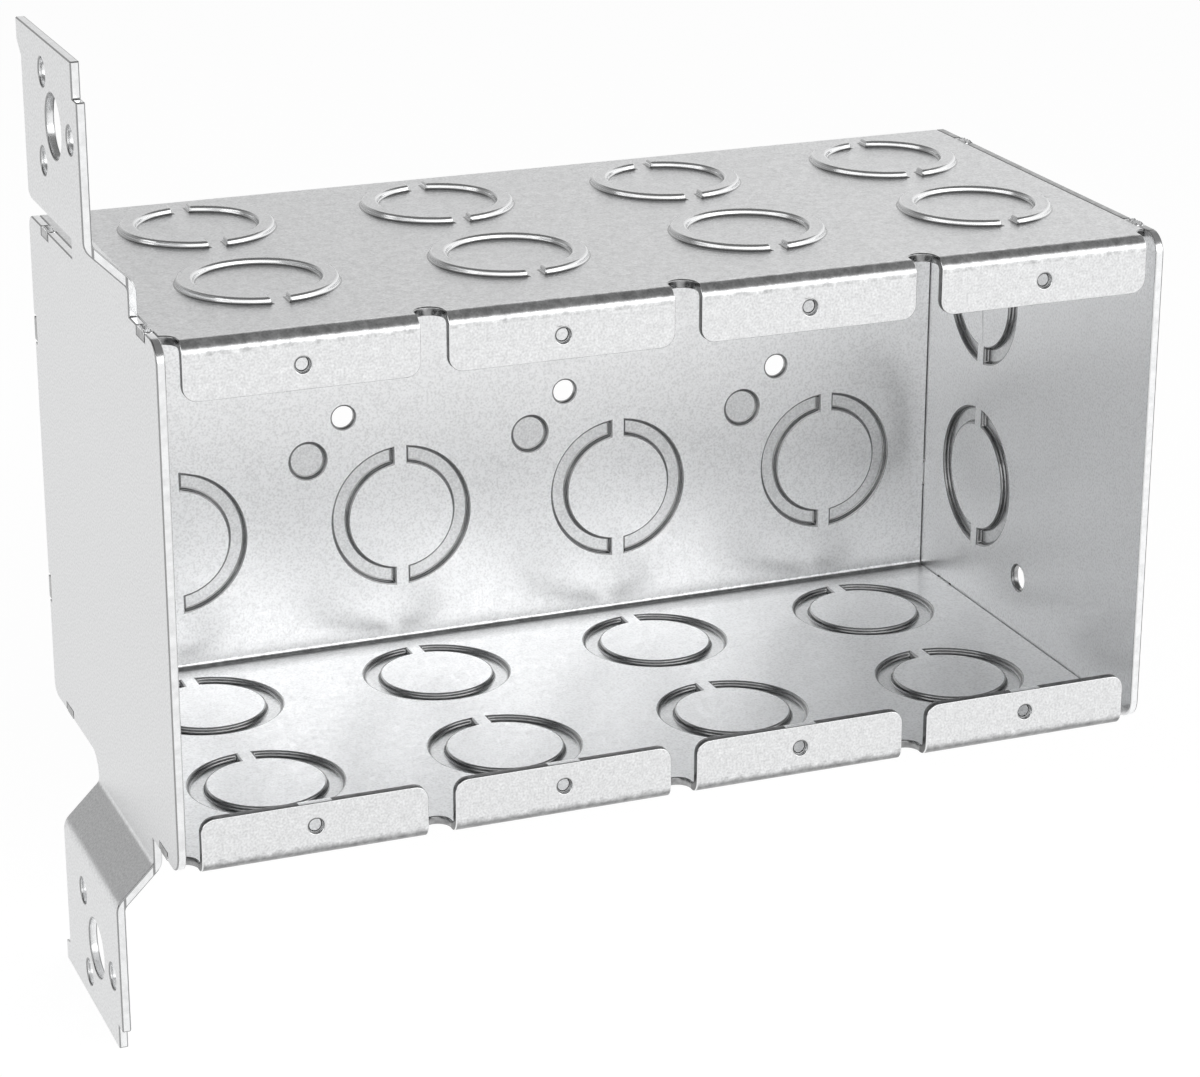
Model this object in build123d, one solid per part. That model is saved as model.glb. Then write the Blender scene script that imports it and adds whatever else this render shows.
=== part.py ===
# Four gang masonry box in galvanised sheet steel, with an offset mounting bracket.
# Three folded and punched sheets make the box:
#   body_channel       top, back and bottom in one strip, with eight device tabs folded in
#   bracket_end_plate  left end, with a joggled strap above and below the box
#   plain_end_plate    right end
# Small ears on the ends of the channel lie in notches in the end plates and are staked there.
# Millimetres. X runs along the box, Y from the open front to the back, Z up.
# The origin is the middle of the device screw pattern, on the front face of the tabs.

import os
from math import radians, sqrt, tan

from build123d import *

# Sheet
SHEET = 1.6
BACK_BEND_INSIDE = 1.0
TAB_BEND_INSIDE = 0.8

# Gangs and device screws
GANGS = 4
GANG_PITCH = 46.04
SCREW_SPACING = 83.34
SCREW_HOLE_DIAMETER = 2.9

# Box. It is as long as its gangs and a margin at each end.
END_MARGIN = 1.57
BOX_HEIGHT = 95.25
BOX_DEPTH = 90.5
PLATE_SETBACK = 0.8
PLATE_FRONT_CORNER = 4.0

# Device tabs and the relief slots beside them. A tab ends this far past the middle of its screw hole.
TAB_PAST_SCREW = 4.35
TAB_CORNER = 2.6
RELIEF_WIDTH = 4.94
RELIEF_DEPTH = 5.4

# Knockouts: a half inch disc inside a three quarter inch ring, the ring pushed outward
DISC_DIAMETER = 22.2
RING_DIAMETER = 28.2
RING_PUSH = 1.1
TIE_WIDTH = 3.2
FRONT_ROW = 30.7
ROW_PITCH = 38.4
TOP_KNOCKOUT_SHIFT = 1.5
BACK_KNOCKOUT_RISE = -20.2
END_KNOCKOUT_DEPTH = 66.0
END_KNOCKOUT_PITCH = 38.4

# Small holes and half sheared discs in the back, one pair for each gang, set in from its left edge
BACK_HOLE_DIAMETER = 4.5
BACK_HOLE_INSET = 11.52
BACK_HOLE_RISE = 1.4
BACK_DISC_DIAMETER = 7.2
BACK_DISC_PUSH = 0.9
BACK_DISC_INSET = 4.12
BACK_DISC_RISE = -6.6

# Small hole in the right end
END_HOLE_DIAMETER = 5.0
END_HOLE_DEPTH = 46.7
END_HOLE_RISE = -34.6

# Ears, their notches and the stake mark across each ear
EAR_WIDTH = 4.4
EAR_SIDE_GAP = 0.5
EAR_FRONT = 10.4
EAR_REAR = 78.0
EAR_RISE = 25.7
STAKE_DEPTH = 0.6

# Bracket strap: its edges, its double bend and the stepped ends left by the shear
STRAP_FRONT = 17.8
STRAP_WIDTH = 39.2
STRAP_OFFSET = 7.1
STRAP_SLOPE = 45.0
STRAP_STUB = 5.2
STRAP_BEND_INSIDE = 1.8
STRAP_TOP_END = 90.6
STRAP_BOTTOM_END = 88.9
STRAP_STEP_START = 84.4
STRAP_STEP = 2.8
TOP_STEP_RAMP = 2.2
BOTTOM_STEP_RAMP = 0.8
STRAP_ROOT_RADIUS = 4.0

# Bracket holes. The pair of big holes sits a little above the middle of the box.
# Nail holes are placed from the big hole, to the rear and away from the box.
BIG_HOLE_DIAMETER = 11.2
BIG_HOLE_SPACING = 152.4
BIG_HOLE_RISE = 0.55
BIG_HOLE_FROM_FRONT = 17.3
NAIL_HOLE_DIAMETER = 5.0
NAIL_HOLES = [(6.6, 7.9), (-11.5, 0.2), (8.5, -7.8)]

# Worked out sizes
BOX_LENGTH = GANGS * GANG_PITCH + 2 * END_MARGIN
HALF_LENGTH = BOX_LENGTH / 2
HALF_HEIGHT = BOX_HEIGHT / 2
SCREW_Z = SCREW_SPACING / 2
TAB_FREE_EDGE = SCREW_Z - TAB_PAST_SCREW
CHANNEL_HALF = HALF_LENGTH - SHEET
REAR_ROW = FRONT_ROW + ROW_PITCH
GANG_X = [(i - (GANGS - 1) / 2) * GANG_PITCH for i in range(GANGS)]
GANG_EDGE_X = [(i - GANGS / 2) * GANG_PITCH for i in range(GANGS + 1)]
STRAP_REAR = STRAP_FRONT + STRAP_WIDTH
BIG_HOLE_Y = STRAP_FRONT + BIG_HOLE_FROM_FRONT

# Directions of a knockout's ties, as angles in the face that it is punched in
UP = 90
DOWN = -90


# Places on the outside of each sheet, with the normal pointing out of the box

def top_at(x, y):
    return Plane(origin=(x, y, HALF_HEIGHT), x_dir=(1, 0, 0), z_dir=(0, 0, 1))


def bottom_at(x, y):
    return Plane(origin=(x, y, -HALF_HEIGHT), x_dir=(1, 0, 0), z_dir=(0, 0, -1))


def back_at(x, z):
    return Plane(origin=(x, BOX_DEPTH, z), x_dir=(1, 0, 0), z_dir=(0, 1, 0))


def right_at(y, z):
    return Plane(origin=(HALF_LENGTH, y, z), x_dir=(0, 1, 0), z_dir=(1, 0, 0))


def tab_at(x, z):
    return Plane(origin=(x, 0, z), x_dir=(1, 0, 0), z_dir=(0, -1, 0))


# Sheet metal operations

def punch(plane, diameter):
    """A round cutter through the sheet."""
    return extrude(plane * Circle(diameter / 2), amount=2 * SHEET, both=True)


def half_shear(sheet, plane, outline, push):
    """Push an outline part of the way out of the sheet, leaving a recess inside the box."""
    raised = extrude(plane * outline, amount=push)
    recess = extrude(plane.offset(-SHEET) * outline, amount=push)
    return sheet - recess + raised


def knockout(sheet, plane, ties):
    """Half shear a ring round a disc. The ring stays level at its ties."""
    ring = Circle(RING_DIAMETER / 2) - Circle(DISC_DIAMETER / 2)
    for angle in ties:
        ring -= Rot(0, 0, angle) * Pos(RING_DIAMETER / 2, 0) * Rectangle(RING_DIAMETER / 2, TIE_WIDTH)
    return half_shear(sheet, plane, ring, RING_PUSH)


def ear_places(side):
    """Where the ears cross an end plate: planes on the outside of the channel, over the plate."""
    x = side * (HALF_LENGTH - SHEET / 2)
    places = [face(x, y) for face in (top_at, bottom_at) for y in (EAR_FRONT, EAR_REAR)]
    return places + [back_at(x, z) for z in (EAR_RISE, -EAR_RISE)]


def ear_block(place, width):
    """As thick as the channel and as long as the plate is thick: the ear, or its notch if wider."""
    return extrude(place * Rectangle(SHEET, width), amount=-SHEET)


def stake_mark(place):
    """The groove that the staking tool leaves across the outside of an ear."""
    side = STAKE_DEPTH * sqrt(2)
    return place * Rot(0, 45, 0) * Box(side, 2 * EAR_WIDTH, side)


def cut_notches(plate, side):
    for place in ear_places(side):
        plate -= ear_block(place, EAR_WIDTH + 2 * EAR_SIDE_GAP)
    return plate


# Channel

def channel_section():
    """The folded strip seen from its end: back bends, and the front tabs still in one piece."""
    middle = Pos(BOX_DEPTH / 2, 0)
    outside = middle * Rectangle(BOX_DEPTH, BOX_HEIGHT)
    inside = middle * Rectangle(BOX_DEPTH - 2 * SHEET, BOX_HEIGHT - 2 * SHEET)
    outside = fillet(outside.vertices().sort_by(Axis.X)[:2], TAB_BEND_INSIDE + SHEET)
    outside = fillet(outside.vertices().sort_by(Axis.X)[-2:], BACK_BEND_INSIDE + SHEET)
    inside = fillet(inside.vertices().sort_by(Axis.X)[:2], TAB_BEND_INSIDE)
    inside = fillet(inside.vertices().sort_by(Axis.X)[-2:], BACK_BEND_INSIDE)
    opening = Rectangle(4 * SHEET, 2 * TAB_FREE_EDGE)
    return outside - inside - opening


def body_channel():
    channel = extrude(Plane.YZ * channel_section(), amount=CHANNEL_HALF, both=True)

    slot_end = RELIEF_DEPTH - RELIEF_WIDTH / 2
    slot = Pos(0, slot_end) * Circle(RELIEF_WIDTH / 2)
    slot += Pos(0, slot_end - RELIEF_DEPTH / 2) * Rectangle(RELIEF_WIDTH, RELIEF_DEPTH)
    for x in GANG_EDGE_X:
        channel -= Pos(x, 0, 0) * extrude(slot, amount=BOX_HEIGHT, both=True)

    corners = [e for e in channel.edges().filter_by(Axis.Y)
               if e.center().Y < SHEET and abs(abs(e.center().Z) - TAB_FREE_EDGE) < SHEET / 4]
    channel = fillet(corners, TAB_CORNER)

    for x in GANG_X:
        for z in (SCREW_Z, -SCREW_Z):
            channel -= punch(tab_at(x, z), SCREW_HOLE_DIAMETER)
        channel = knockout(channel, top_at(x + TOP_KNOCKOUT_SHIFT, FRONT_ROW), [DOWN])
        channel = knockout(channel, top_at(x + TOP_KNOCKOUT_SHIFT, REAR_ROW), [UP, DOWN])
        channel = knockout(channel, bottom_at(x, FRONT_ROW), [DOWN])
        channel = knockout(channel, bottom_at(x, REAR_ROW), [DOWN])
        channel = knockout(channel, back_at(x, BACK_KNOCKOUT_RISE), [UP, DOWN])
        left = x - GANG_PITCH / 2
        channel -= punch(back_at(left + BACK_HOLE_INSET, BACK_HOLE_RISE), BACK_HOLE_DIAMETER)
        channel = half_shear(channel, back_at(left + BACK_DISC_INSET, BACK_DISC_RISE),
                             Circle(BACK_DISC_DIAMETER / 2), BACK_DISC_PUSH)

    for side in (1, -1):
        for place in ear_places(side):
            channel += ear_block(place, EAR_WIDTH)
            channel -= stake_mark(place)
    return channel


# End plates

def plate_outline():
    """An end plate in Y and Z. Its rear corners follow the channel's bends."""
    depth = BOX_DEPTH - PLATE_SETBACK
    outline = Pos(PLATE_SETBACK + depth / 2, 0) * Rectangle(depth, BOX_HEIGHT)
    outline = fillet(outline.vertices().sort_by(Axis.X)[:2], PLATE_FRONT_CORNER)
    outline = fillet(outline.vertices().sort_by(Axis.X)[-2:], BACK_BEND_INSIDE + SHEET)
    return outline


def plain_end_plate():
    plate = extrude(Plane.YZ.offset(CHANNEL_HALF) * plate_outline(), amount=SHEET)
    plate = cut_notches(plate, 1)
    for z in (END_KNOCKOUT_PITCH / 2, -END_KNOCKOUT_PITCH / 2):
        plate = knockout(plate, right_at(END_KNOCKOUT_DEPTH, z), [UP, DOWN])
    return plate - punch(right_at(END_HOLE_DEPTH, END_HOLE_RISE), END_HOLE_DIAMETER)


def strap_outline(end, ramp):
    """One strap in Y and Z, from inside the plate to its stepped end."""
    rear_step = STRAP_REAR + STRAP_STEP
    return Polygon((STRAP_FRONT, 0), (STRAP_REAR, 0), (STRAP_REAR, STRAP_STEP_START),
                   (rear_step, STRAP_STEP_START + ramp), (rear_step, end),
                   (STRAP_FRONT + STRAP_STEP, end), (STRAP_FRONT + STRAP_STEP, STRAP_STEP_START),
                   (STRAP_FRONT, STRAP_STEP_START), align=None)


def big_hole_z(side):
    """Height of the big hole in the upper strap (side 1) or in the lower one (side -1)."""
    return BIG_HOLE_RISE + side * BIG_HOLE_SPACING / 2


def bracket_blank():
    """The plate and both straps as punched, before the straps are bent."""
    blank = plate_outline() + strap_outline(STRAP_TOP_END, TOP_STEP_RAMP)
    blank += mirror(strap_outline(STRAP_BOTTOM_END, BOTTOM_STEP_RAMP), about=Plane.XZ)
    root = blank.vertices().sort_by_distance((STRAP_REAR, -HALF_HEIGHT, 0))[0]
    blank = fillet(root, STRAP_ROOT_RADIUS)
    for side in (1, -1):
        blank -= Pos(BIG_HOLE_Y, big_hole_z(side)) * Circle(BIG_HOLE_DIAMETER / 2)
        for rearward, away in NAIL_HOLES:
            place = Pos(BIG_HOLE_Y + rearward, big_hole_z(side) + side * away)
            blank -= place * Circle(NAIL_HOLE_DIAMETER / 2)
    return blank


def bracket_section():
    """The bent sheet seen from the front: plate in the middle, straps set out at both ends."""
    plate_x = -HALF_LENGTH + SHEET / 2
    flat_x = plate_x - STRAP_OFFSET
    bend_start = HALF_HEIGHT + STRAP_STUB
    bend_end = bend_start + STRAP_OFFSET / tan(radians(STRAP_SLOPE))
    middle_line = FilletPolyline((flat_x, -STRAP_BOTTOM_END), (flat_x, -bend_end),
                                 (plate_x, -bend_start), (plate_x, bend_start),
                                 (flat_x, bend_end), (flat_x, STRAP_TOP_END),
                                 radius=STRAP_BEND_INSIDE + SHEET / 2)
    return trace(middle_line, SHEET)


def bracket_end_plate():
    folded = extrude(Plane.XZ * bracket_section(), amount=-BOX_DEPTH)
    punched = extrude(Plane.YZ * bracket_blank(), amount=-BOX_LENGTH)
    return cut_notches(folded & punched, -1)


def main():
    os.makedirs("parts", exist_ok=True)
    for make in (body_channel, bracket_end_plate, plain_end_plate):
        name = make.__name__
        solid = make().solid()
        solid.label = name
        export_step(solid, f"parts/{name}.step")


main()
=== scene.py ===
# %% [markdown]
# # A four gang masonry box in galvanised sheet
#
# The real box is three pieces of zinc coated sheet steel, punched, folded and staked together.
# All of its form is already in the frame, so this lesson is about what the frame leaves out:
# softened edges, the zinc coat with its grain, the bare steel that the shear leaves,
# the threads in the tabs, and the light of a small photo studio.
# The frame is loaded first, because every later step reads its sizes from it.

# %% Load the frame
from math import cos, pi, radians, sin, tau

import bmesh
import bpy
from mathutils import Matrix, Vector, noise


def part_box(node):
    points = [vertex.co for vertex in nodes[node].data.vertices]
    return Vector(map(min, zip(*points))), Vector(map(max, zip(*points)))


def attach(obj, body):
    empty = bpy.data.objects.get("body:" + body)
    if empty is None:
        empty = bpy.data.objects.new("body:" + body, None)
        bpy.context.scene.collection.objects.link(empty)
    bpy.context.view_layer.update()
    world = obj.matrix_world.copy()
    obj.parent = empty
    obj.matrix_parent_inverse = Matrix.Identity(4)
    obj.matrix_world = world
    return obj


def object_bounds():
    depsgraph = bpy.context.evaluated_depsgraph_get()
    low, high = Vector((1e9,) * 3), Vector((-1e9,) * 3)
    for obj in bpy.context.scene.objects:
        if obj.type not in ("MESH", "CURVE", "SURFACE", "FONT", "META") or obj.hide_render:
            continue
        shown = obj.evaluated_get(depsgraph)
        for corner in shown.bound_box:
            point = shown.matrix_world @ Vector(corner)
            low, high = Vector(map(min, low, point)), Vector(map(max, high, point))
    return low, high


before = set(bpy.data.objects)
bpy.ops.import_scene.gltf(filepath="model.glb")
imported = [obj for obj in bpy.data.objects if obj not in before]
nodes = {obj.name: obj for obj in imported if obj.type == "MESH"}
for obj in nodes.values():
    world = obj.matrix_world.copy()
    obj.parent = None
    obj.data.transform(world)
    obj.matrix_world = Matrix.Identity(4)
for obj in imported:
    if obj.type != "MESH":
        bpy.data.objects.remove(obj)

cad_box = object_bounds()
print("pieces in the frame:", sorted(nodes))
print("box from", tuple(cad_box[0]), "to", tuple(cad_box[1]))

# %% [markdown]
# ## Sizes that the steps share
#
# A step that places something needs the box's walls. They are read from the frame where they can be:
# the plain end plate is as high as the box, and the channel reaches to its back.
# The sheet's thickness, the gang pitch and the spacing of the device screws are trade sizes
# that no bounding box gives, so they are written here, once.

# %% Named sizes
MM = 0.001
SHEET = 1.6 * MM
GANGS = 4
GANG_PITCH = 46.04 * MM
SCREW_SPACING = 83.34 * MM
GANG_X = [(i - (GANGS - 1) / 2) * GANG_PITCH for i in range(GANGS)]
KNOCKOUT_PROUD = 1.1 * MM

plate_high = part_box("plain_end_plate")[1]
channel_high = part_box("body_channel")[1]
HALF_HEIGHT = plate_high.z
HALF_LENGTH = channel_high.x
CHANNEL_HALF = HALF_LENGTH - SHEET
DEPTH = plate_high.y
FLOOR_Z = cad_box[0].z
print("half length", HALF_LENGTH, "half height", HALF_HEIGHT, "depth", DEPTH, "floor at", FLOOR_Z)

# %% [markdown]
# ## Camera
#
# A product picture is taken from a little above and to one side, with a long lens,
# so that parallel edges stay nearly parallel. The camera is placed by its position and
# by two angles, and its axes are built with plain vectors. That is easier to check than
# three Euler angles: forward first, then right, and up is what is left.

# %% Place the camera
CAMERA_PLACE = Vector((-229.53, -533.44, 213.59)) * MM
CAMERA_TURN = radians(21.78)
CAMERA_DIP = radians(20.03)
CAMERA_ROLL = radians(0.07)
LENS_IN_PIXELS = 3522.76
IMAGE_WIDTH = 1200
SENSOR_WIDTH = 36
NEAREST_SEEN = 0.01


def camera_axes():
    ahead = Vector((sin(CAMERA_TURN), cos(CAMERA_TURN), 0))
    forward = cos(CAMERA_DIP) * ahead - sin(CAMERA_DIP) * Vector((0, 0, 1))
    level = Vector((cos(CAMERA_TURN), -sin(CAMERA_TURN), 0))
    upward = level.cross(forward)
    right = cos(CAMERA_ROLL) * level + sin(CAMERA_ROLL) * upward
    return right, right.cross(forward), -forward


camera_data = bpy.data.cameras.new("camera")
camera_data.sensor_width = SENSOR_WIDTH
camera_data.lens = SENSOR_WIDTH * LENS_IN_PIXELS / IMAGE_WIDTH
camera_data.clip_start = NEAREST_SEEN
camera = bpy.data.objects.new("camera", camera_data)
camera.matrix_world = Matrix.Translation(CAMERA_PLACE) @ Matrix(camera_axes()).transposed().to_4x4()
bpy.context.scene.collection.objects.link(camera)
bpy.context.scene.camera = camera
print("lens in millimetres:", round(camera_data.lens, 1))

# %% [markdown]
# ## Node helpers
#
# Every material below is wired in code, and a few small helpers keep that readable:
# they add a node, join two sockets, do a sum with a Math node, or put masks together.

# %% Helpers for node trees
def add_node(tree, kind, **settings):
    node = tree.nodes.new(kind)
    for key, value in settings.items():
        setattr(node, key, value)
    return node


def link(tree, source, target):
    tree.links.new(source, target)


def feed(tree, value, socket):
    """Link a socket, or set a plain number."""
    if isinstance(value, bpy.types.NodeSocket):
        link(tree, value, socket)
    else:
        socket.default_value = value


def calculate(tree, operation, first, second=0.0):
    """A Math node. Each operand is a socket or a number."""
    node = add_node(tree, "ShaderNodeMath", operation=operation)
    feed(tree, first, node.inputs[0])
    feed(tree, second, node.inputs[1])
    return node.outputs["Value"]


def calculate_vector(tree, operation, first, second=(0, 0, 0)):
    """A Vector Math node that gives a vector. Each operand is a socket or three numbers."""
    node = add_node(tree, "ShaderNodeVectorMath", operation=operation)
    feed(tree, first, node.inputs[0])
    feed(tree, second, node.inputs[1])
    return node.outputs["Vector"]


def remap(tree, value, old, new, smooth=False):
    """A Map Range node from one pair of numbers to another, held inside them."""
    shape = "SMOOTHSTEP" if smooth else "LINEAR"
    node = add_node(tree, "ShaderNodeMapRange", interpolation_type=shape)
    feed(tree, value, node.inputs["Value"])
    for label, number in zip(("From Min", "From Max", "To Min", "To Max"), (*old, *new)):
        feed(tree, number, node.inputs[label])
    return node.outputs["Result"]


def mix(tree, share, first, second):
    """first where share is 0 and second where it is 1."""
    node = add_node(tree, "ShaderNodeMix")
    feed(tree, share, node.inputs["Factor"])
    feed(tree, first, node.inputs["A"])
    feed(tree, second, node.inputs["B"])
    return node.outputs["Result"]


def split_axes(tree, vector):
    split = add_node(tree, "ShaderNodeSeparateXYZ")
    link(tree, vector, split.inputs["Vector"])
    return split.outputs


def all_of(tree, *masks):
    """1 where every mask is 1."""
    product = masks[0]
    for mask in masks[1:]:
        product = calculate(tree, "MULTIPLY", product, mask)
    return product


def any_of(tree, *masks):
    """1 where at least one mask is 1. It also gives the largest of plain values."""
    most = masks[0]
    for mask in masks[1:]:
        most = calculate(tree, "MAXIMUM", most, mask)
    return most


print("helpers are ready")

# %% [markdown]
# ## Studio light
#
# Bright metal shows its surroundings, so lighting it means choosing what it reflects.
# This studio is bright low down at the right, falls off evenly towards the left, and is dim
# overhead, which draws the dark line along every bend. That could be built from many lamps.
# One world shader does it with less noise. Three softboxes then stand where the walls of
# the rings look, and where the inside of the box looks after two or three reflections.
# A softbox is given by how bright its face looks, where 1 is white, because that is what
# metal shows of it, on top of the world behind it. The helper works out the watts.

# %% Light the studio
REAR_LEFT_GREY = 0.24
FRONT_RIGHT_GREY = 1.33
OVERHEAD_GREY = 0.20
BRIGHT_SIDE = (0.995, -0.10, 0.0)
OVERHEAD_FROM = 0.42
OVERHEAD_FULL = 0.62
SOFTBOX_DISTANCE = 1.3
LOOK_AT = Vector((0, DEPTH / 2, 0))


def studio_world():
    world = bpy.data.worlds.new("studio_room")
    world.use_nodes = True
    tree = world.node_tree
    direction = add_node(tree, "ShaderNodeTexCoord").outputs["Generated"]
    facing = add_node(tree, "ShaderNodeVectorMath", operation="DOT_PRODUCT")
    link(tree, direction, facing.inputs[0])
    facing.inputs[1].default_value = BRIGHT_SIDE
    side = remap(tree, facing.outputs["Value"], (-1, 1), (REAR_LEFT_GREY, FRONT_RIGHT_GREY))
    upward = split_axes(tree, direction)["Z"]
    overhead = remap(tree, upward, (OVERHEAD_FROM, OVERHEAD_FULL), (0, 1), smooth=True)
    background = tree.nodes["Background"]
    background.inputs["Color"].default_value = (1, 1, 1, 1)
    link(tree, mix(tree, overhead, side, OVERHEAD_GREY), background.inputs["Strength"])
    return world


def softbox(name, toward, width, height, brightness):
    """An area lamp in a direction from the box, turned to face it."""
    data = bpy.data.lights.new(name, "AREA")
    data.shape = "RECTANGLE"
    data.size = width
    data.size_y = height
    data.energy = brightness * pi * width * height
    lamp = bpy.data.objects.new(name, data)
    direction = Vector(toward).normalized()
    lamp.location = LOOK_AT + SOFTBOX_DISTANCE * direction
    lamp.rotation_euler = direction.to_track_quat("Z", "Y").to_euler()
    bpy.context.scene.collection.objects.link(lamp)
    print(name, "watts", round(data.energy, 1))


bpy.context.scene.view_settings.view_transform = "Standard"
bpy.context.scene.world = studio_world()
softbox("front_right_softbox", toward=(0.50, -0.80, 0.42), width=1.6, height=0.6, brightness=1.20)
softbox("front_left_softbox", toward=(-0.45, -0.80, 0.38), width=1.5, height=0.8, brightness=0.80)
softbox("left_softbox", toward=(-0.98, -0.10, 0.42), width=1.0, height=0.6, brightness=1.35)

# %% [markdown]
# ## Floor
#
# The picture's background is plain white paper. Paper lit at a plain level is never quite
# as bright as white, so for rays that come from the camera, or from a mirror like surface,
# the floor is part paper and part even glow, which together come to white. The paper part still
# takes the box's shadow.

# %% Lay the floor
PAPER_WHITE = 0.9
PAPER_ROUGHNESS = 0.9
GLOW_SHARE = 0.75
GLOW = 1.18
FLOOR_HALF = 25.0


def floor_material():
    material = bpy.data.materials.new("white_paper")
    material.use_nodes = True
    tree = material.node_tree
    paper = tree.nodes["Principled BSDF"]
    paper.inputs["Base Color"].default_value = (PAPER_WHITE, PAPER_WHITE, PAPER_WHITE, 1)
    paper.inputs["Roughness"].default_value = PAPER_ROUGHNESS
    paper.inputs["Specular IOR Level"].default_value = 0.0
    glow = add_node(tree, "ShaderNodeEmission")
    glow.inputs["Strength"].default_value = GLOW
    rays = add_node(tree, "ShaderNodeLightPath").outputs
    seen = any_of(tree, rays["Is Camera Ray"], rays["Is Glossy Ray"], rays["Is Transmission Ray"])
    blend = add_node(tree, "ShaderNodeMixShader")
    link(tree, calculate(tree, "MULTIPLY", seen, GLOW_SHARE), blend.inputs["Fac"])
    link(tree, paper.outputs["BSDF"], blend.inputs[1])
    link(tree, glow.outputs["Emission"], blend.inputs[2])
    link(tree, blend.outputs["Shader"], tree.nodes["Material Output"].inputs["Surface"])
    return material


floor_mesh = bpy.data.meshes.new("floor")
unit_corners = ((-1, -1), (1, -1), (1, 1), (-1, 1))
floor_corners = [(x * FLOOR_HALF, y * FLOOR_HALF, 0) for x, y in unit_corners]
floor_mesh.from_pydata(floor_corners, [], [(0, 1, 2, 3)])
floor_mesh.materials.append(floor_material())
floor = bpy.data.objects.new("floor", floor_mesh)
floor.location.z = FLOOR_Z
bpy.context.scene.collection.objects.link(floor)
print("floor laid at", floor.location.z)

# %% [markdown]
# ## Softened edges
#
# No punched edge is sharp: the punch draws it over by a fifth of a millimetre or so, and by
# up to half a millimetre where a ring or a disc is pushed half way out of the sheet. That small
# roundness catches the light along every edge in a picture. One bevel with one width would
# round all edges alike, so a small geometry node group first gives each sharp edge a bevel
# weight, more on the knockouts and round the tapped holes and little on the small ears.
# It finds them by where they are in the box, and each piece gives it its own limits.

# %% Weigh the edges
EDGE_ROUND = 0.24 * MM
RING_ROUND = 0.48 * MM
RECESS_ROUND = 0.40 * MM
RECESS_FROM = 6.0 * MM
TAPPED_ROUND = 0.30 * MM
TAPPED_REACH = 3.0 * MM
EAR_SHARE = 0.12
SHARP_ANGLE = radians(34)
BOX_MIDDLE = (0, DEPTH / 2, 0)
BOX_REACH = (HALF_LENGTH, DEPTH / 2, HALF_HEIGHT)
EDGE_INPUTS = {"Geometry": "NodeSocketGeometry", "Proud Weight": "NodeSocketFloat",
               "Ear Start": "NodeSocketFloat", "Recess Reach": "NodeSocketVector"}


def off_gang_middle(tree, x):
    """How far a place is from the middle of the gang that it is in, along the box."""
    off_gang_edge = calculate(tree, "PINGPONG", x, GANG_PITCH / 2)
    return calculate(tree, "SUBTRACT", GANG_PITCH / 2, off_gang_edge)


def from_box_middle(tree, place):
    """How far a place is from the middle of the box, along each axis, without its sign."""
    return calculate_vector(tree, "ABSOLUTE", calculate_vector(tree, "SUBTRACT", place, BOX_MIDDLE))


def on_proud_ring(group, away):
    """1 on what stands out of the box's walls by more than half of a knockout's push."""
    past = split_axes(group, calculate_vector(group, "SUBTRACT", away, BOX_REACH))
    furthest = any_of(group, past["X"], past["Y"], past["Z"])
    return calculate(group, "GREATER_THAN", furthest, KNOCKOUT_PROUD / 2)


def in_recess(group, at, reach, limit):
    """1 on the knockouts' and discs' edges inside the box, within the piece's own limits."""
    return all_of(group, calculate(group, "GREATER_THAN", at["Y"], RECESS_FROM),
                  calculate(group, "LESS_THAN", at["Y"], limit["Y"]),
                  calculate(group, "LESS_THAN", reach["X"], limit["X"]),
                  calculate(group, "LESS_THAN", reach["Z"], limit["Z"]))


def round_tapped_hole(group, at, reach):
    """1 near the front rim of the tabs' tapped holes."""
    off_bore = calculate(group, "SUBTRACT", reach["Z"], SCREW_SPACING / 2)
    off_bore = calculate(group, "ABSOLUTE", off_bore)
    return all_of(group, calculate(group, "LESS_THAN", off_gang_middle(group, at["X"]), TAPPED_REACH),
                  calculate(group, "LESS_THAN", at["Y"], SHEET / 2),
                  calculate(group, "LESS_THAN", off_bore, TAPPED_REACH))


def edge_weight_group():
    """Geometry nodes: smooth shading, and a bevel weight on every sharp edge."""
    group = bpy.data.node_groups.new("edge_weights", "GeometryNodeTree")
    keys = {}
    for label, kind in EDGE_INPUTS.items():
        socket = group.interface.new_socket(label, in_out="INPUT", socket_type=kind)
        keys[label] = socket.identifier
    group.interface.new_socket("Geometry", in_out="OUTPUT", socket_type="NodeSocketGeometry")
    given = add_node(group, "NodeGroupInput").outputs
    smooth = add_node(group, "GeometryNodeSetShadeSmooth")
    link(group, given["Geometry"], smooth.inputs["Geometry"])

    place = add_node(group, "GeometryNodeInputPosition").outputs["Position"]
    away = from_box_middle(group, place)
    at = split_axes(group, place)
    reach = split_axes(group, away)
    recess = in_recess(group, at, reach, split_axes(group, given["Recess Reach"]))
    weight = mix(group, recess, EDGE_ROUND / RING_ROUND, RECESS_ROUND / RING_ROUND)
    weight = mix(group, on_proud_ring(group, away), weight, given["Proud Weight"])
    weight = mix(group, round_tapped_hole(group, at, reach), weight, TAPPED_ROUND / RING_ROUND)
    on_ear = calculate(group, "GREATER_THAN", reach["X"], given["Ear Start"])
    weight = mix(group, on_ear, weight, EAR_SHARE)

    angle = add_node(group, "GeometryNodeInputMeshEdgeAngle").outputs["Unsigned Angle"]
    sharp = calculate(group, "GREATER_THAN", angle, SHARP_ANGLE)
    store = add_node(group, "GeometryNodeStoreNamedAttribute", data_type="FLOAT", domain="EDGE")
    store.inputs["Name"].default_value = "bevel_weight_edge"
    link(group, smooth.outputs["Geometry"], store.inputs["Geometry"])
    link(group, calculate(group, "MULTIPLY", sharp, weight), store.inputs["Value"])
    outside = add_node(group, "NodeGroupOutput")
    link(group, store.outputs["Geometry"], outside.inputs["Geometry"])
    return group, keys


edge_weights, edge_weight_keys = edge_weight_group()
print("group", edge_weights.name, "takes", list(edge_weight_keys))

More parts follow.
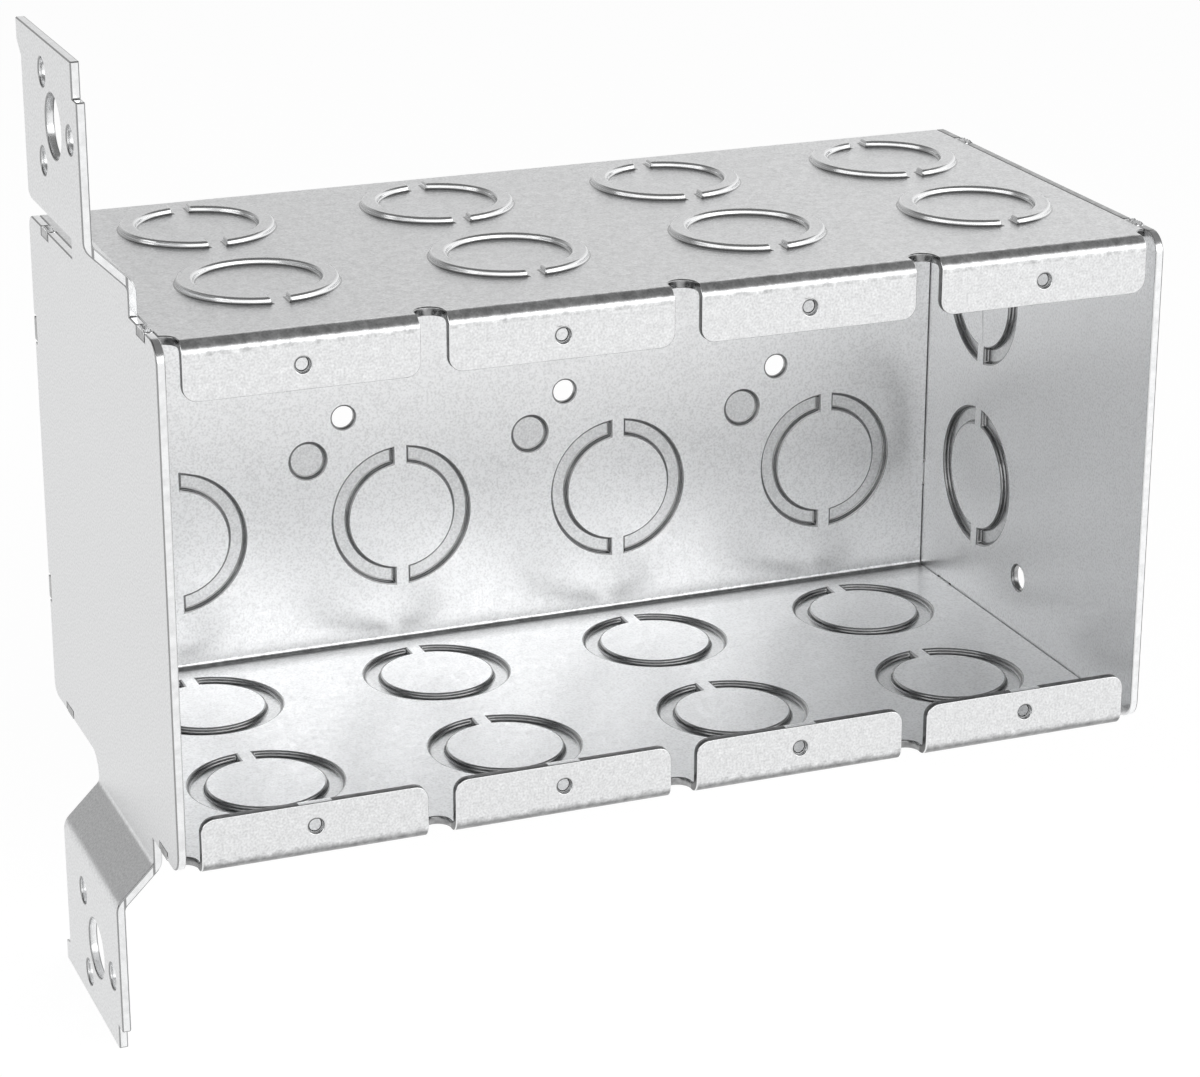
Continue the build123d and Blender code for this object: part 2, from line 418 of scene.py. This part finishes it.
# %% [markdown]
# ## Modifiers
#
# The frame's meshes may not be changed, but modifiers work on a copy of them, and five are
# stacked here. Weld joins the triangles' loose corners, and Decimate clears the lines inside
# flat faces. The node group weighs the edges, and Bevel rounds them by that weight. Its clamp
# stays off, because one short edge anywhere would hold every edge to its own size.
# The rounded strips get the second material of the piece. Weighted Normal keeps the large
# faces flat in the shading.

# %% Stack the modifiers
WELD_REACH = 0.001 * MM
FLAT_ANGLE = radians(0.5)
BEVEL_STEPS = 2
ROUNDED_STRIP = 1
FACE_WEIGHT = 50
ANYWHERE = 1.0
NOT_HERE = 0.0
EAR_MARGIN = 2.0 * MM
PLATE_MARGIN = 5.0 * MM


def soften(piece, proud_weight, ear_start, recess_reach):
    weld = piece.modifiers.new("join corners", "WELD")
    weld.merge_threshold = WELD_REACH
    flatten = piece.modifiers.new("clear flat faces", "DECIMATE")
    flatten.decimate_type = "DISSOLVE"
    flatten.angle_limit = FLAT_ANGLE
    weights = piece.modifiers.new("weigh the edges", "NODES")
    weights.node_group = edge_weights
    weights[edge_weight_keys["Proud Weight"]] = proud_weight
    weights[edge_weight_keys["Ear Start"]] = ear_start
    weights[edge_weight_keys["Recess Reach"]] = recess_reach
    edges = piece.modifiers.new("round the edges", "BEVEL")
    edges.width = RING_ROUND
    edges.segments = BEVEL_STEPS
    edges.limit_method = "WEIGHT"
    edges.use_clamp_overlap = False
    edges.material = ROUNDED_STRIP
    normals = piece.modifiers.new("keep faces flat", "WEIGHTED_NORMAL")
    normals.weight = FACE_WEIGHT
    print(piece.name, "has", [modifier.name for modifier in piece.modifiers])


soften(nodes["body_channel"], proud_weight=1.0, ear_start=CHANNEL_HALF + EDGE_ROUND,
       recess_reach=(CHANNEL_HALF - EAR_MARGIN, ANYWHERE, ANYWHERE))
soften(nodes["plain_end_plate"], proud_weight=1.0, ear_start=ANYWHERE,
       recess_reach=(ANYWHERE, DEPTH - PLATE_MARGIN, HALF_HEIGHT - PLATE_MARGIN))
soften(nodes["bracket_end_plate"], proud_weight=EDGE_ROUND / RING_ROUND, ear_start=ANYWHERE,
       recess_reach=(NOT_HERE, NOT_HERE, NOT_HERE))

# %% [markdown]
# ## The zinc coat
#
# The sheet was dipped in molten zinc, which sets as a fine dull grain over larger, fainter crystals.
# An image of real zinc would repeat and could stretch, so the grain is noise in the piece's own
# coordinates. Every piece uses it, so it is a node group with its sizes as inputs.

# %% Grain as a node group
GRAIN = 0.42 * MM
GRAIN_DETAIL = 1.0
CRYSTAL = 1.5 * MM
CRYSTAL_DETAIL = 2.0
NOISE_SPREAD = (0.28, 0.72)


def group_of(name, inputs, outputs):
    """A shader node group. inputs has a default for each label: a number, or three for a vector."""
    group = bpy.data.node_groups.new(name, "ShaderNodeTree")
    for label, default in inputs.items():
        kind = "NodeSocketVector" if isinstance(default, tuple) else "NodeSocketFloat"
        socket = group.interface.new_socket(label, in_out="INPUT", socket_type=kind)
        socket.default_value = default
    for label in outputs:
        group.interface.new_socket(label, in_out="OUTPUT", socket_type="NodeSocketFloat")
    given = add_node(group, "NodeGroupInput").outputs
    out = add_node(group, "NodeGroupOutput").inputs
    return group, given, out


def lumps(tree, place, size, detail):
    """Noise whose lumps are about as large as size, from 0 to 1 with 0.5 in the middle."""
    texture = add_node(tree, "ShaderNodeTexNoise")
    texture.inputs["Detail"].default_value = detail
    link(tree, place, texture.inputs["Vector"])
    link(tree, calculate(tree, "DIVIDE", 1.0, size), texture.inputs["Scale"])
    return remap(tree, texture.outputs["Fac"], NOISE_SPREAD, (0, 1))


def zinc_grain_group():
    group, given, out = group_of(
        "zinc_grain", {"Grain Size": GRAIN, "Crystal Size": CRYSTAL}, ["Grain", "Crystals"])
    place = add_node(group, "ShaderNodeTexCoord").outputs["Object"]
    link(group, lumps(group, place, given["Grain Size"], GRAIN_DETAIL), out["Grain"])
    link(group, lumps(group, place, given["Crystal Size"], CRYSTAL_DETAIL), out["Crystals"])
    return group


zinc_grain = zinc_grain_group()
print("group", zinc_grain.name, "is made")

# %% [markdown]
# ## Cut faces and dark edge lines
#
# A cut face shows the steel's own thickness. It is dark where the shear tore it, and bright
# where a die rubbed it, as on the walls of the rings that stand proud, and along the front
# edge of a plate; that dark and bright is partly painted shade and painted highlight, for what
# these faces mirror. A plate's cut face is darker in a thin line along both its sides. Painting such
# masks by hand would tie them to one mesh. They can be worked out instead from where a point is and
# which way it faces: a face of the sheet lies past a wall's inner side and faces the same way
# as that wall, and every other face is cut.

# %% Masks for sheared steel
PLATE_MIDDLE = HALF_LENGTH - SHEET / 2
FACING = 0.6
EDGE_LINE_WIDTH = 0.22 * MM


def spot_on_sheet(group):
    """Where a point is and which way it faces, each with its signs and without them."""
    space = add_node(group, "ShaderNodeTexCoord").outputs
    away = from_box_middle(group, space["Object"])
    turned = calculate_vector(group, "ABSOLUTE", space["Normal"])
    return {"at": split_axes(group, space["Object"]), "away": split_axes(group, away),
            "facing": split_axes(group, space["Normal"]), "turned": split_axes(group, turned)}


def cut_mask(group, spot, face_reach):
    """1 on every face that isn't one of the sheet's own two faces."""
    faces = []
    for axis in "XYZ":
        past = calculate(group, "GREATER_THAN", spot["away"][axis], face_reach[axis])
        faces.append(all_of(group, past, calculate(group, "GREATER_THAN", spot["turned"][axis], FACING)))
    return calculate(group, "SUBTRACT", 1.0, any_of(group, *faces))


def rubbed_mask(group, spot, rubbed_depth, tab):
    """1 where a die or a tap rubbed the steel: in front, in tapped holes, on proud rings."""
    shallow = calculate(group, "LESS_THAN", spot["at"]["Y"], rubbed_depth)
    off_middle = off_gang_middle(group, spot["at"]["X"])
    tapped = all_of(group, tab, calculate(group, "LESS_THAN", off_middle, TAPPED_REACH))
    proud = [calculate(group, "GREATER_THAN", spot["away"][axis], reach + EDGE_LINE_WIDTH / 2)
             for axis, reach in zip("XYZ", BOX_REACH)]
    return any_of(group, shallow, tapped, *proud)


def edge_line_mask(group, spot, cut, sheet_middles):
    """1 on the cut faces of plates, close to either face of the sheet."""
    dark_lines = []
    for middle in sheet_middles:
        off_middle = calculate(group, "SUBTRACT", spot["away"]["X"], middle)
        off_middle = calculate(group, "ABSOLUTE", off_middle)
        to_face = calculate(group, "SUBTRACT", off_middle, SHEET / 2)
        dark_lines.append(calculate(group, "LESS_THAN", calculate(group, "ABSOLUTE", to_face), EDGE_LINE_WIDTH))
    return all_of(group, cut, any_of(group, *dark_lines))


print("burrs are", round(EDGE_LINE_WIDTH / MM, 2), "mm wide and the plates' middle is at", PLATE_MIDDLE)

# %% [markdown]
# ## Worked zinc
#
# A bend and the tab in front of it are worked hard. Their zinc is coarse and mottled. The bends
# that face downwards get painted shade, for the dark underside that they mirror. The floor beside
# the rear fold gets painted shade that fades out from the crease, and the faces that look into the
# box get painted light. These places need masks of the same kind, so they are small functions beside the
# others.

# %% Masks for worked zinc
FRONT_FACING = 0.35
# Painted shade: bends darken as they turn from the first facing down to the second.
DOWNWARD_SHADE_FACING = (-0.05, -0.45)
# Painted shade on the floor by the rear fold fades in between these two depths.
SEAM_SHADE_FROM = 8.5 * MM
SEAM_SHADE_FULL = 2.4 * MM


def bend_mask(group, spot, bend_reach):
    """1 on the folds along the box's length."""
    past = [calculate(group, "GREATER_THAN", spot["away"][axis], bend_reach[axis]) for axis in "YZ"]
    return all_of(group, *past)


def front_mask(group, spot, tab):
    """1 on what faces forwards on a tab."""
    return all_of(group, tab, calculate(group, "LESS_THAN", spot["facing"]["Y"], -FRONT_FACING))


def seam_shade_mask(group, spot):
    """Painted shade: rises to 1 on the floor towards the rear fold, for the shade in the crease."""
    rise = remap(group, spot["at"]["Y"], (DEPTH - SEAM_SHADE_FROM, DEPTH - SEAM_SHADE_FULL), (0, 1))
    low = calculate(group, "LESS_THAN", spot["at"]["Z"], 0.0)
    level = calculate(group, "GREATER_THAN", spot["facing"]["Z"], FACING)
    return all_of(group, rise, low, level)


def inside_mask(group, spot):
    """1 on the faces that look into the box."""
    return all_of(group, calculate(group, "LESS_THAN", spot["away"]["X"], PLATE_MIDDLE),
                  calculate(group, "LESS_THAN", spot["away"]["Z"], HALF_HEIGHT - SHEET / 2),
                  calculate(group, "LESS_THAN", spot["at"]["Y"], DEPTH - SHEET / 2),
                  calculate(group, "GREATER_THAN", spot["at"]["Y"], SHEET / 2))


print("the painted seam shade fades in over", round((SEAM_SHADE_FROM - SEAM_SHADE_FULL) / MM, 1), "mm")

# %% [markdown]
# ## The masks as one group
#
# Every material needs all the masks, for its own reaches, so they are wired into one node
# group. Its inputs start out as limits that no point of the box meets, and each look
# then gives only the ones that it needs. A reach or a sheet's middle is measured from
# the box's middle, and a depth from the front.

# %% Masks as a node group
NO_REACH = 1.0
AT_NO_DEPTH = -1.0
AT_ANY_DEPTH = 1.0
NOWHERE = (NO_REACH, NO_REACH, NO_REACH)
PLAIN_LIMITS = {"Face Reach": NOWHERE, "Bend Reach": NOWHERE, "Rubbed Depth": AT_NO_DEPTH,
                "Tab Depth": AT_NO_DEPTH, "Near Sheet": NO_REACH, "Far Sheet": NO_REACH}
MASKS = ("Cut", "Rubbed", "Burr", "Bend", "Scuff", "Tab", "Front", "Strip", "Inside", "Outer")


def sheet_masks_group():
    group, given, out = group_of("sheet_masks", PLAIN_LIMITS, MASKS)
    spot = spot_on_sheet(group)
    tab = calculate(group, "LESS_THAN", spot["at"]["Y"], given["Tab Depth"])
    cut = cut_mask(group, spot, split_axes(group, given["Face Reach"]))
    masks = {
        "Cut": cut,
        "Rubbed": rubbed_mask(group, spot, given["Rubbed Depth"], tab),
        "Burr": edge_line_mask(group, spot, cut, (given["Near Sheet"], given["Far Sheet"])),
        "Bend": bend_mask(group, spot, split_axes(group, given["Bend Reach"])),
        "Scuff": remap(group, spot["facing"]["Z"], DOWNWARD_SHADE_FACING, (0, 1)),
        "Tab": tab,
        "Front": front_mask(group, spot, tab),
        "Strip": seam_shade_mask(group, spot),
        "Inside": inside_mask(group, spot),
        "Outer": calculate(group, "GREATER_THAN", spot["away"]["X"], given["Near Sheet"]),
    }
    for label, mask in masks.items():
        link(group, mask, out[label])
    return group


sheet_masks = sheet_masks_group()
print("group", sheet_masks.name, "is made")

# %% [markdown]
# ## Limits for each look
#
# The masks find the sheet's faces, bends and edges from a few limits. The channel's faces lie
# past its floor, its top and its back, and its tabs are no deeper than a bend is thick.
# A plate's faces are all that looks along the box. The right plate's edge is rubbed bright
# in front only, and the bracket's edge all round; that brightness is partly painted highlight.
# The threads and the staked ears have no face of the sheet at all.

# %% Limits for each look
BEND_OUTSIDE = 2.6 * MM
FACE_SLACK = 0.3 * MM
STRAP_OFFSET = 7.1 * MM
PLATE_RUBBED = 4.0 * MM
CHANNEL_FACES = (NO_REACH, DEPTH / 2 - BEND_OUTSIDE, HALF_HEIGHT - SHEET - FACE_SLACK)
CHANNEL_BENDS = (NO_REACH, DEPTH / 2 - BEND_OUTSIDE, HALF_HEIGHT - BEND_OUTSIDE)
PLATE_FACES = (0.0, NO_REACH, NO_REACH)
LOOKS = {
    "body_channel": {"Face Reach": CHANNEL_FACES, "Bend Reach": CHANNEL_BENDS,
                     "Tab Depth": BEND_OUTSIDE},
    "bracket_end_plate": {"Face Reach": PLATE_FACES, "Rubbed Depth": AT_ANY_DEPTH,
                          "Near Sheet": PLATE_MIDDLE, "Far Sheet": PLATE_MIDDLE + STRAP_OFFSET},
    "plain_end_plate": {"Face Reach": PLATE_FACES, "Rubbed Depth": PLATE_RUBBED,
                        "Near Sheet": PLATE_MIDDLE},
    "tapped_steel": {},
    "staked_steel": {"Rubbed Depth": AT_ANY_DEPTH},
}
print("looks:", list(LOOKS))

# %% [markdown]
# ## Sheet material
#
# The coat is metal through and through, so Metallic is 1 on the shader and the look comes from
# colour and roughness. The inside is painted about a sixth brighter than the outside, as painted light,
# because light gets there only by two or three reflections, and brighter lamps would turn the top
# whiter from behind. The grain moves the colour by up to a sixth, the crystals move it a little on
# flat sheet and more on tabs and bends, and cut faces are darker or brighter steel, partly as painted
# shade and painted highlight.
# The tones are shares of the plain zinc. A pair of them holds for the lowest and the highest
# noise. They are written here as values, so that a finish can be tuned without touching a node.

# %% Tones of the sheet
ZINC = (0.80, 0.805, 0.81)
# Painted shade: the bracket plate is darker by this share, for the darker floor that it mirrors.
PAINTED_PIECE_SHADES = {"bracket_end_plate": 0.93}
FINE_TONES = (0.84, 1.12)
PLAIN_TONES = (0.965, 1.02)
TAB_TONES = (0.93, 1.04)
BEND_TONES = (0.68, 1.16)
# Painted shade on the bends that face downwards, for the dark underside that they mirror.
DOWNWARD_BEND_SHADE = 0.40
# Painted shade on the floor beside the rear fold, for the shade in the crease.
SEAM_SHADE_TONE = 0.42
# Painted light: the faces inside the box are brighter by this share.
INSIDE_PAINTED_LIGHT = 1.16
# Torn steel and painted shade: dark cut faces, as on the recess walls and the threads.
TORN_AND_SHADED_TONES = (0.25, 0.52)
# Rubbed steel and painted highlight: cut faces brighter than the zinc.
RUBBED_AND_HIGHLIGHT_TONES = (1.04, 1.22)
# Painted shade on the tabs' cut sides and edges, which mirror the dark inside of the box.
TAB_SIDE_SHADE = 0.45
# A thin dark line along both sides of a plate's cut face.
EDGE_LINE_TONE = 0.42
BRIGHTEST_SHADE = 1.20


def coat_shade(tree, grain, masks):
    """The zinc: fine grain and crystals, with painted light inside and painted shade on downward bends
    and by the rear fold.
    """
    fine = remap(tree, grain["Grain"], (0, 1), FINE_TONES)
    fine = calculate(tree, "MULTIPLY", fine, mix(tree, masks["Inside"], 1.0, INSIDE_PAINTED_LIGHT))
    plain = remap(tree, grain["Crystals"], (0, 1), PLAIN_TONES)
    tab = remap(tree, grain["Crystals"], (0, 1), TAB_TONES)
    bend = remap(tree, grain["Crystals"], (0, 1), BEND_TONES)
    bend = calculate(tree, "MULTIPLY", bend, mix(tree, masks["Scuff"], 1.0, DOWNWARD_BEND_SHADE))
    patches = mix(tree, masks["Bend"], mix(tree, masks["Tab"], plain, tab), bend)
    patches = calculate(tree, "MULTIPLY", patches, mix(tree, masks["Strip"], 1.0, SEAM_SHADE_TONE))
    return calculate(tree, "MULTIPLY", fine, patches)


def cut_shade(tree, grain, masks, tab_side_shade):
    """Cut steel: torn or rubbed bright, partly painted shade and highlight, with a dark line by its
    edges.
    """
    torn = remap(tree, grain["Crystals"], (0, 1), TORN_AND_SHADED_TONES)
    torn = calculate(tree, "MULTIPLY", torn, tab_side_shade)
    rubbed = remap(tree, grain["Crystals"], (0, 1), RUBBED_AND_HIGHLIGHT_TONES)
    return mix(tree, masks["Burr"], mix(tree, masks["Rubbed"], torn, rubbed), EDGE_LINE_TONE)


print("zinc reflects", ZINC, "and at most", round(BRIGHTEST_SHADE * max(ZINC), 3))

# %% [markdown]
# ## Materials
#
# Each piece gets its own material, because its limits differ, and a second one for its
# rounded edges. These are narrow, so grain would not show on them. They get one dark tone, painted
# shade that widens the dark lines they mirror, a bright one where a die rubbed them, and a dark one
# along the outer side of the right plate's front edge, which draws its outline on the white paper.
# Everything else gets the coat or the cut steel. One function wires all of them, from the groups above.

# %% Dress the sheets
# Painted shade: the rounded edges are darkened to widen the dark lines that they mirror.
PAINTED_EDGE_SHADE = 0.42
BRIGHT_EDGE = 0.88
OUTER_EDGES = {"plain_end_plate": 0.15}
COAT_ROUGHNESS = (0.30, 0.40)
BEND_ROUGHNESS = 0.28
CUT_ROUGHNESS = 0.25
EDGE_ROUGHNESS = 0.20


def edge_shade(tree, masks, tab_side_shade, outer_edge):
    """The rounded edges: painted shade, bright where they were rubbed, plain on the tabs' front."""
    dull = calculate(tree, "MULTIPLY", tab_side_shade, PAINTED_EDGE_SHADE)
    shade = mix(tree, masks["Rubbed"], mix(tree, masks["Front"], dull, 1.0), BRIGHT_EDGE)
    outer = mix(tree, masks["Rubbed"], PAINTED_EDGE_SHADE, outer_edge)
    return mix(tree, masks["Outer"], shade, outer)


def sheet_roughness(tree, grain, masks):
    rough = remap(tree, grain["Crystals"], (0, 1), COAT_ROUGHNESS)
    rough = mix(tree, masks["Bend"], rough, BEND_ROUGHNESS)
    return mix(tree, masks["Cut"], rough, CUT_ROUGHNESS)


def sheet_material(look, rounded=False):
    material = bpy.data.materials.new(look + ("_edges" if rounded else "_zinc"))
    material.use_nodes = True
    tree = material.node_tree
    coat = tree.nodes["Principled BSDF"]
    coat.inputs["Metallic"].default_value = 1.0
    masks = add_node(tree, "ShaderNodeGroup", node_tree=sheet_masks)
    for label, value in (PLAIN_LIMITS | LOOKS[look]).items():
        masks.inputs[label].default_value = value
    masks = masks.outputs
    # Painted shade on the tabs.
    tab_side_shade = mix(tree, masks["Tab"], 1.0, TAB_SIDE_SHADE)
    if rounded:
        shade = edge_shade(tree, masks, tab_side_shade, OUTER_EDGES.get(look, PAINTED_EDGE_SHADE))
        coat.inputs["Roughness"].default_value = EDGE_ROUGHNESS
    else:
        grain = add_node(tree, "ShaderNodeGroup", node_tree=zinc_grain).outputs
        cut = cut_shade(tree, grain, masks, tab_side_shade)
        shade = mix(tree, masks["Cut"], coat_shade(tree, grain, masks), cut)
        link(tree, sheet_roughness(tree, grain, masks), coat.inputs["Roughness"])
    colour = add_node(tree, "ShaderNodeVectorMath", operation="SCALE")
    colour.inputs[0].default_value = [PAINTED_PIECE_SHADES.get(look, 1.0) * part for part in ZINC]
    link(tree, calculate(tree, "MINIMUM", shade, BRIGHTEST_SHADE), colour.inputs["Scale"])
    link(tree, colour.outputs["Vector"], coat.inputs["Base Color"])
    return material


finishes = {look: sheet_material(look) for look in LOOKS}
edge_finishes = {look: sheet_material(look, rounded=True) for look in nodes}


def dress(piece, look):
    piece.data.materials.clear()
    piece.data.materials.append(finishes[look])
    if look in edge_finishes:
        piece.data.materials.append(edge_finishes[look])
    print(piece.name, "is dressed in", [finish.name for finish in piece.data.materials])


for name, piece in nodes.items():
    dress(piece, name)

# %% [markdown]
# ## Screw threads
#
# Each tab's hole is tapped for a device screw, with 32 threads to the inch. A screw modifier on
# a profile would make such a thread. A short loop does as well and lets the ridge fade in and out,
# as a tap leaves it. The profile has three corners: two in the wall of the hole and one at the crest.

# %% Cut the threads
THREAD_PITCH = 25.4 / 32 * MM
THREAD_ROOT = 1.50 * MM
THREAD_CREST = 1.12 * MM
THREAD_STEPS = 40
THREAD_MARGIN = 0.25 * MM
RIDGE_HALF = 0.36 * THREAD_PITCH
RIDGE_FADE = 6
END_WIDTH = 0.3
END_HEIGHT = 0.1


def bridge_rings(rings):
    """Faces that join each ring of corners to the next, with both ends closed."""
    count = len(rings[0])
    faces = [tuple(reversed(rings[0])), tuple(rings[-1])]
    for ring, following in zip(rings, rings[1:]):
        for k in range(count):
            after = (k + 1) % count
            faces.append((ring[k], ring[after], following[after], following[k]))
    return faces


def add_piece(name, corners, faces, look):
    """A mesh piece that rides on the box, with its normals turned outwards."""
    mesh = bpy.data.meshes.new(name)
    mesh.from_pydata(corners, [], faces)
    form = bmesh.new()
    form.from_mesh(mesh)
    bmesh.ops.recalc_face_normals(form, faces=form.faces)
    form.to_mesh(mesh)
    form.free()
    mesh.polygons.foreach_set("use_smooth", [True] * len(mesh.polygons))
    piece = bpy.data.objects.new(name, mesh)
    bpy.context.scene.collection.objects.link(piece)
    dress(piece, look)
    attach(piece, "root")
    print(name, "has", len(mesh.polygons), "faces")


def thread(x, z, corners, faces):
    """A ridge that winds once or twice through the tab and fades out at both ends."""
    travel = SHEET - 2 * THREAD_MARGIN
    turns = travel / THREAD_PITCH
    steps = int(turns * THREAD_STEPS)
    rings = []
    for step in range(steps + 1):
        share = step / steps
        fade = min(1.0, RIDGE_FADE * share, RIDGE_FADE * (1 - share))
        middle = THREAD_MARGIN + share * travel
        half = RIDGE_HALF * (END_WIDTH + (1 - END_WIDTH) * fade)
        crest = THREAD_ROOT + (THREAD_CREST - THREAD_ROOT) * (END_HEIGHT + (1 - END_HEIGHT) * fade)
        angle = tau * turns * share
        ring = []
        profile = ((THREAD_ROOT, middle - half), (crest, middle), (THREAD_ROOT, middle + half))
        for radius, y in profile:
            ring.append(len(corners))
            corners.append((x + radius * cos(angle), y, z + radius * sin(angle)))
        rings.append(ring)
    faces.extend(bridge_rings(rings))


thread_corners, thread_faces = [], []
for x in GANG_X:
    for z in (SCREW_SPACING / 2, -SCREW_SPACING / 2):
        thread(x, z, thread_corners, thread_faces)
add_piece("screw_threads", thread_corners, thread_faces, "tapped_steel")

# %% [markdown]
# ## Staked ears
#
# The channel's ears lie in notches in the end plates. A blunt chisel was driven across each one,
# and the steel swelled up in a ragged lip on both sides of the mark. The frame has the clean mark.
# A noisy displacement of the ear itself isn't possible, since the frame's mesh is fixed,
# so each ear gets a small cap with the same mark and its lips, worked out as a height field.

# %% Raise the lips of the stake marks
EAR_WIDTH = 4.4 * MM
EAR_DEPTHS = (10.4 * MM, 78.0 * MM)
EAR_RISES = (25.7 * MM, -25.7 * MM)
CAP_ROOT = -0.75 * MM
MARK_HALF = 0.42 * MM
MARK_DEEP = 0.55 * MM
LIP_AT = 0.56 * MM
LIP_HALF = 0.20 * MM
LIP_HIGH = 0.26 * MM
LIP_RAGGED = 0.8
LIP_RUN_OUT = 0.6 * MM
MARK_WANDER = 0.08 * MM
RAGS_ACROSS = 1.3 / MM
RAGS_ALONG = 1.6 / MM
RAG_SEEDS = 7.0
CAP_WIDTH = SHEET - 0.02 * MM
CAP_PROUD = 0.02 * MM
CAP_ROUGH = 0.05 * MM
CAP_ACROSS = 18
CAP_ALONG = 30


def ear_places(side):
    """For each ear of an end: its middle, and the ways across the plate, along it and outwards."""
    x = side * PLATE_MIDDLE
    across = Vector((side, 0, 0))
    backward = Vector((0, 1, 0))
    upward = Vector((0, 0, 1))
    places = []
    for up in (1, -1):
        for y in EAR_DEPTHS:
            places.append((Vector((x, y, up * HALF_HEIGHT)), across, backward, up * upward))
    for z in EAR_RISES:
        places.append((Vector((x, DEPTH, z)), across, upward, backward))
    return places


def cap_height(across, along, seed):
    """Height of a staked ear over its flat: a valley, and a ragged lip on both sides of it."""
    rag = noise.noise(Vector((across * RAGS_ACROSS, along * RAGS_ALONG, seed)))
    ends = min(1.0, (EAR_WIDTH / 2 - abs(along)) / LIP_RUN_OUT)
    valley = -MARK_DEEP * max(0.0, 1 - abs(across + MARK_WANDER * rag) / MARK_HALF)
    lip = LIP_HIGH * max(0.0, 1 - ((abs(across) - LIP_AT) / LIP_HALF) ** 2)
    return CAP_PROUD + ends * (valley + lip * (1 + LIP_RAGGED * rag)) + CAP_ROUGH * rag


def cap_spot(i, j):
    """How far across and along the ear a corner of the cap's grid is."""
    return (i / CAP_ACROSS - 0.5) * CAP_WIDTH, (j / CAP_ALONG - 0.5) * EAR_WIDTH


def cap(place, seed, corners, faces):
    """A grid over the ear, closed by walls and a floor that reach down into it."""
    middle, across_way, along_way, out_way = place
    first = len(corners)
    for i in range(CAP_ACROSS + 1):
        for j in range(CAP_ALONG + 1):
            across, along = cap_spot(i, j)
            height = cap_height(across, along, seed)
            corners.append(middle + across * across_way + along * along_way + height * out_way)
    rim = [(0, j) for j in range(CAP_ALONG)]
    rim += [(i, CAP_ALONG) for i in range(CAP_ACROSS)]
    rim += [(CAP_ACROSS, j) for j in range(CAP_ALONG, 0, -1)]
    rim += [(i, 0) for i in range(CAP_ACROSS, 0, -1)]
    top_rim = [first + i * (CAP_ALONG + 1) + j for i, j in rim]
    root = len(corners)
    for i, j in rim:
        across, along = cap_spot(i, j)
        corners.append(middle + across * across_way + along * along_way + CAP_ROOT * out_way)
    root_rim = list(range(root, root + len(rim)))
    faces.append(tuple(root_rim))
    for k in range(len(rim)):
        after = (k + 1) % len(rim)
        faces.append((top_rim[k], top_rim[after], root_rim[after], root_rim[k]))
    for i in range(CAP_ACROSS):
        for j in range(CAP_ALONG):
            here = first + i * (CAP_ALONG + 1) + j
            faces.append((here, here + 1, here + CAP_ALONG + 2, here + CAP_ALONG + 1))


for name, side in (("left_ear_lips", -1), ("right_ear_lips", 1)):
    lip_corners, lip_faces = [], []
    for number, place in enumerate(ear_places(side)):
        cap(place, RAG_SEEDS * number + side, lip_corners, lip_faces)
    add_piece(name, lip_corners, lip_faces, "staked_steel")
